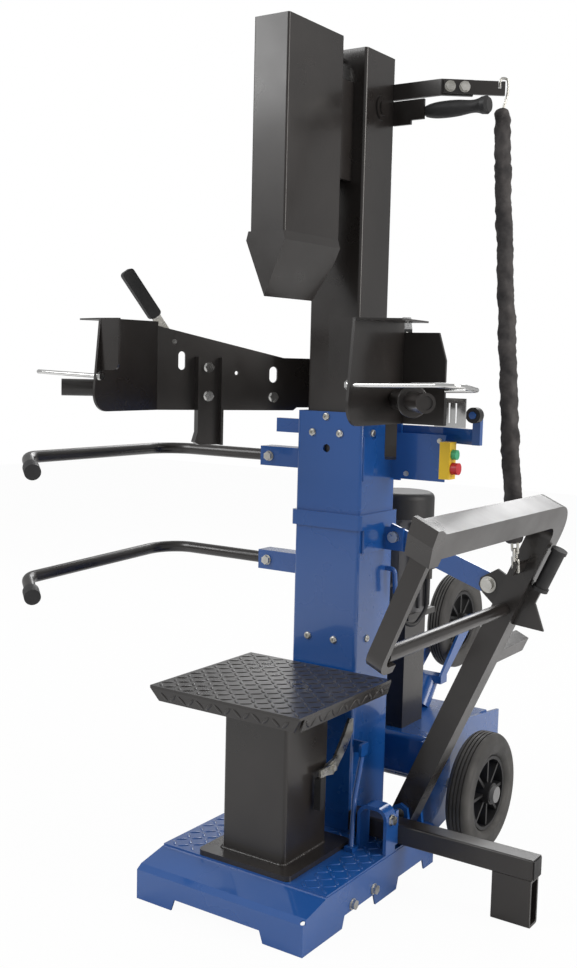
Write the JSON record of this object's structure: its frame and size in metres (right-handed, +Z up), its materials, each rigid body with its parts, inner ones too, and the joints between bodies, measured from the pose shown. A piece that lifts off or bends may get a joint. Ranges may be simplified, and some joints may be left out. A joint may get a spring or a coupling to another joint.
{
  "type": "vertical log splitter",
  "caption": "Upright hydraulic log splitter: wedge on a sliding mast, tread-plate table, two operating arms, log lifter and wheels.",
  "frame": {"origin": "centre of the bounding box's underside, on the floor", "axes": "+Z up, +Y to the back, +X to the machine's right seen from the front"},
  "size_m": [0.9677, 1.128, 1.612],
  "materials": {
    "blue_paint": "gloss",
    "black_paint": "satin",
    "zinc": "satin",
    "chrome": "polished",
    "black_plastic": "matte",
    "grey_plastic": "matte",
    "grip_rubber": "matte",
    "tyre_rubber": "matte",
    "yellow_plastic": "gloss",
    "green_plastic": "gloss",
    "red_plastic": "gloss",
    "sleeve_fabric": "matte",
    "motor_grey": "satin"
  },
  "bodies": {
    "machine": {"base_shell": "blue_paint", "deck_plate": "blue_paint", "rear_frame": "blue_paint", "column": "blue_paint", "column_brackets": "blue_paint", "base_brackets": "blue_paint", "guide_pads": "black_plastic", "machine_bolts": "zinc", "hinge_pins": "zinc", "ram_cylinder": "black_paint", "stabiliser": "black_paint", "guard_bars": "black_paint", "tube_caps": "grip_rubber", "pump": "black_paint", "motor_body": "motor_grey", "fan_cover": "black_plastic", "motor_cable": "grip_rubber", "axles": "zinc", "axle_caps": "grey_plastic", "switch_panel": "blue_paint", "switch_body": "yellow_plastic"},
    "carriage": {"mast": "black_paint", "ram_rod": "chrome", "wedge_box": "black_paint", "wedge_blade": "black_paint", "lifting_bow": "chrome", "hanger_brackets": "black_paint", "hanger_bolts": "zinc", "tow_grip": "grip_rubber"},
    "stand": {"pedestal": "black_paint", "table": "black_paint", "latch_pin": "zinc"},
    "latch": {"latch_lever": "zinc", "latch_grip": "black_plastic"},
    "right_arm_body": {"right_arm": "black_paint", "right_arm_fittings": "chrome"},
    "left_arm_body": {"left_arm": "black_paint", "left_arm_fittings": "chrome"},
    "right_lever_body": {"right_lever": "zinc", "right_lever_grip": "black_plastic"},
    "left_lever_body": {"left_lever": "zinc", "left_lever_grip": "black_plastic"},
    "rocker_body": {"rocker": "blue_paint"},
    "roller_body": {"rocker_roller": "black_plastic"},
    "start_body": {"start_button": "green_plastic"},
    "stop_body": {"stop_button": "red_plastic"},
    "lifter": {"lifter_frame": "black_paint", "lifter_bars": "black_paint", "lifter_plates": "black_paint", "lifter_lock_pin": "zinc", "lifter_grip": "grip_rubber", "chain_sleeve": "sleeve_fabric", "chain_links": "zinc"},
    "lock_bar_body": {"lock_bar": "blue_paint"},
    "right_wheel": {"right_tyre": "tyre_rubber", "right_hub": "black_plastic"},
    "left_wheel": {"left_tyre": "tyre_rubber", "left_hub": "black_plastic"},
    "support_wheel": {"support_tyre": "tyre_rubber", "support_hub": "black_plastic"}
  },
  "joints": [
    {"name": "mast_stroke", "type": "slide", "parent": "machine", "child": "carriage", "axis": [0, 0, 1], "range_m": [-0.43, 0]},
    {"name": "stand_lift", "type": "slide", "parent": "machine", "child": "stand", "axis": [0, 0, 1], "range_m": [0, 0.12]},
    {"name": "latch_turn", "type": "hinge", "parent": "stand", "child": "latch", "pos_m": [0.08396, -0.194, 0.244], "axis": [1, 0, 0], "range_deg": [0, 60]},
    {"name": "right_arm_swing", "type": "hinge", "parent": "machine", "child": "right_arm_body", "pos_m": [0.06696, 0.056, 0.966], "axis": [0, 0, 1], "range_deg": [-12, 5]},
    {"name": "left_arm_swing", "type": "hinge", "parent": "machine", "child": "left_arm_body", "pos_m": [-0.05303, 0.056, 0.966], "axis": [0, 0, 1], "range_deg": [-5, 12]},
    {"name": "right_lever_turn", "type": "hinge", "parent": "right_arm_body", "child": "right_lever_body", "pos_m": [0.26004, -0.27709, 1.046], "axis": [-0.8652, -0.5015, 0], "range_deg": [-110, 2]},
    {"name": "left_lever_turn", "type": "hinge", "parent": "left_arm_body", "child": "left_lever_body", "pos_m": [-0.24611, -0.27709, 1.046], "axis": [-0.8652, 0.5015, 0], "range_deg": [-1, 60]},
    {"name": "rocker_tilt", "type": "hinge", "parent": "machine", "child": "rocker_body", "pos_m": [0.00696, 0.0444, 0.877], "axis": [0, 1, 0], "range_deg": [-3, 3]},
    {"name": "roller_spin", "type": "hinge", "parent": "rocker_body", "child": "roller_body", "pos_m": [0.26897, -0.0026, 0.92], "axis": [0, 1, 0], "continuous": true},
    {"name": "start_press", "type": "slide", "parent": "machine", "child": "start_body", "axis": [-1, 0, 0], "range_m": [0, 0.0035], "stiffness_N_per_m": 400},
    {"name": "stop_press", "type": "slide", "parent": "machine", "child": "stop_body", "axis": [-1, 0, 0], "range_m": [0, 0.005], "stiffness_N_per_m": 400},
    {"name": "lifter_swing", "type": "hinge", "parent": "machine", "child": "lifter", "pos_m": [0.16897, -0.03, 0.13], "axis": [0, 1, 0], "range_deg": [0, 70]},
    {"name": "lock_bar_lift", "type": "hinge", "parent": "machine", "child": "lock_bar_body", "pos_m": [0.10897, -0.0035, 0.671], "axis": [0, 1, 0], "range_deg": [-30, 0]},
    {"name": "right_wheel_spin", "type": "hinge", "parent": "machine", "child": "right_wheel", "pos_m": [0.23897, 0.164, 0.125], "axis": [1, 0, 0], "continuous": true},
    {"name": "left_wheel_spin", "type": "hinge", "parent": "machine", "child": "left_wheel", "pos_m": [-0.22504, 0.164, 0.125], "axis": [1, 0, 0], "continuous": true},
    {"name": "support_wheel_spin", "type": "hinge", "parent": "machine", "child": "support_wheel", "pos_m": [0.02696, 0.452, 0.412], "axis": [1, 0, 0], "continuous": true}
  ]
}
